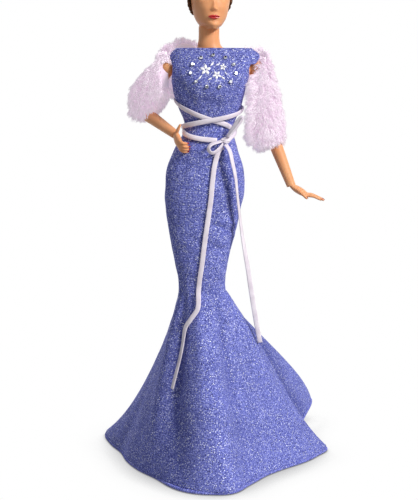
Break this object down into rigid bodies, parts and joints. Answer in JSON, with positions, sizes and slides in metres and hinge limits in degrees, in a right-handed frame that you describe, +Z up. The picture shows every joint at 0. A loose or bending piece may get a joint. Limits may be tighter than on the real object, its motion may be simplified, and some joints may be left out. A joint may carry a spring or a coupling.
{
  "type": "fashion doll",
  "caption": "Standing fashion doll in a fitted mermaid gown with a train, a fur shrug and a ribbon bow; the arms swing at the shoulders and the head nods and turns.",
  "frame": {"origin": "centre of the overall box in plan, on the floor plane that the gown's hem rests on", "axes": "+Z up along the doll; -Y is where the doll's chest faces; +X is the doll's left side; the doll's own axis stands 3.1 mm to -X and 36.1 mm to -Y of the origin, ahead of the train"},
  "size_m": [0.1368, 0.1472, 0.2866],
  "materials": {
    "skin_vinyl": "soft satin vinyl",
    "hard_body": "moulded, satin",
    "hair_fibre": "smooth drawn-back fibre",
    "glitter_knit": "stretch knit with glitter",
    "satin_ribbon": "satin",
    "lilac_fur": "long-haired plush",
    "rhinestone": "faceted, foil backed",
    "closure_tape": "woven hook-and-loop tape"
  },
  "bodies": {
    "torso": {"torso_front": "hard_body", "torso_back": "hard_body", "hip_axle": "hard_body", "leg_right": "skin_vinyl", "leg_left": "skin_vinyl", "gown_front": "glitter_knit", "gown_back_left": "glitter_knit", "gown_back_right": "glitter_knit", "gown_closure": "closure_tape", "gown_hem": "glitter_knit", "ribbon_strand_a": "satin_ribbon", "ribbon_strand_b": "satin_ribbon", "ribbon_strand_c": "satin_ribbon", "ribbon_strand_d": "satin_ribbon", "ribbon_knot": "satin_ribbon", "bow_loop_left": "satin_ribbon", "bow_loop_right": "satin_ribbon", "ribbon_tail_left": "satin_ribbon", "ribbon_tail_right": "satin_ribbon", "stole_back": "lilac_fur", "rhinestone_01": "rhinestone", "rhinestone_02": "rhinestone", "rhinestone_03": "rhinestone", "rhinestone_04": "rhinestone", "rhinestone_05": "rhinestone", "rhinestone_06": "rhinestone", "rhinestone_07": "rhinestone", "rhinestone_08": "rhinestone", "rhinestone_09": "rhinestone", "rhinestone_10": "rhinestone", "rhinestone_11": "rhinestone"},
    "arm_right": {"arm_right": "skin_vinyl", "sleeve_right": "lilac_fur"},
    "arm_left": {"arm_left": "skin_vinyl", "sleeve_left": "lilac_fur"},
    "neck_knob": {"neck_knob": "hard_body"},
    "head": {"head": "skin_vinyl", "hair_cap": "hair_fibre", "hair_bun": "hair_fibre"}
  },
  "joints": [
    {"name": "right_shoulder", "type": "hinge", "parent": "torso", "child": "arm_right", "pos_m": [-0.02556, -0.03606, 0.2295], "axis": [-1, 0, 0], "range_deg": [0, 100]},
    {"name": "left_shoulder", "type": "hinge", "parent": "torso", "child": "arm_left", "pos_m": [0.02244, -0.03606, 0.2295], "axis": [-1, 0, 0], "range_deg": [-20, 55]},
    {"name": "head_nod", "type": "hinge", "parent": "torso", "child": "neck_knob", "pos_m": [-0.00306, -0.03606, 0.2502], "axis": [1, 0, 0], "range_deg": [-10, 10]},
    {"name": "head_turn", "type": "hinge", "parent": "neck_knob", "child": "head", "pos_m": [-0.00306, -0.03606, 0.2502], "axis": [0, 0, 1], "range_deg": [-70, 70]}
  ]
}
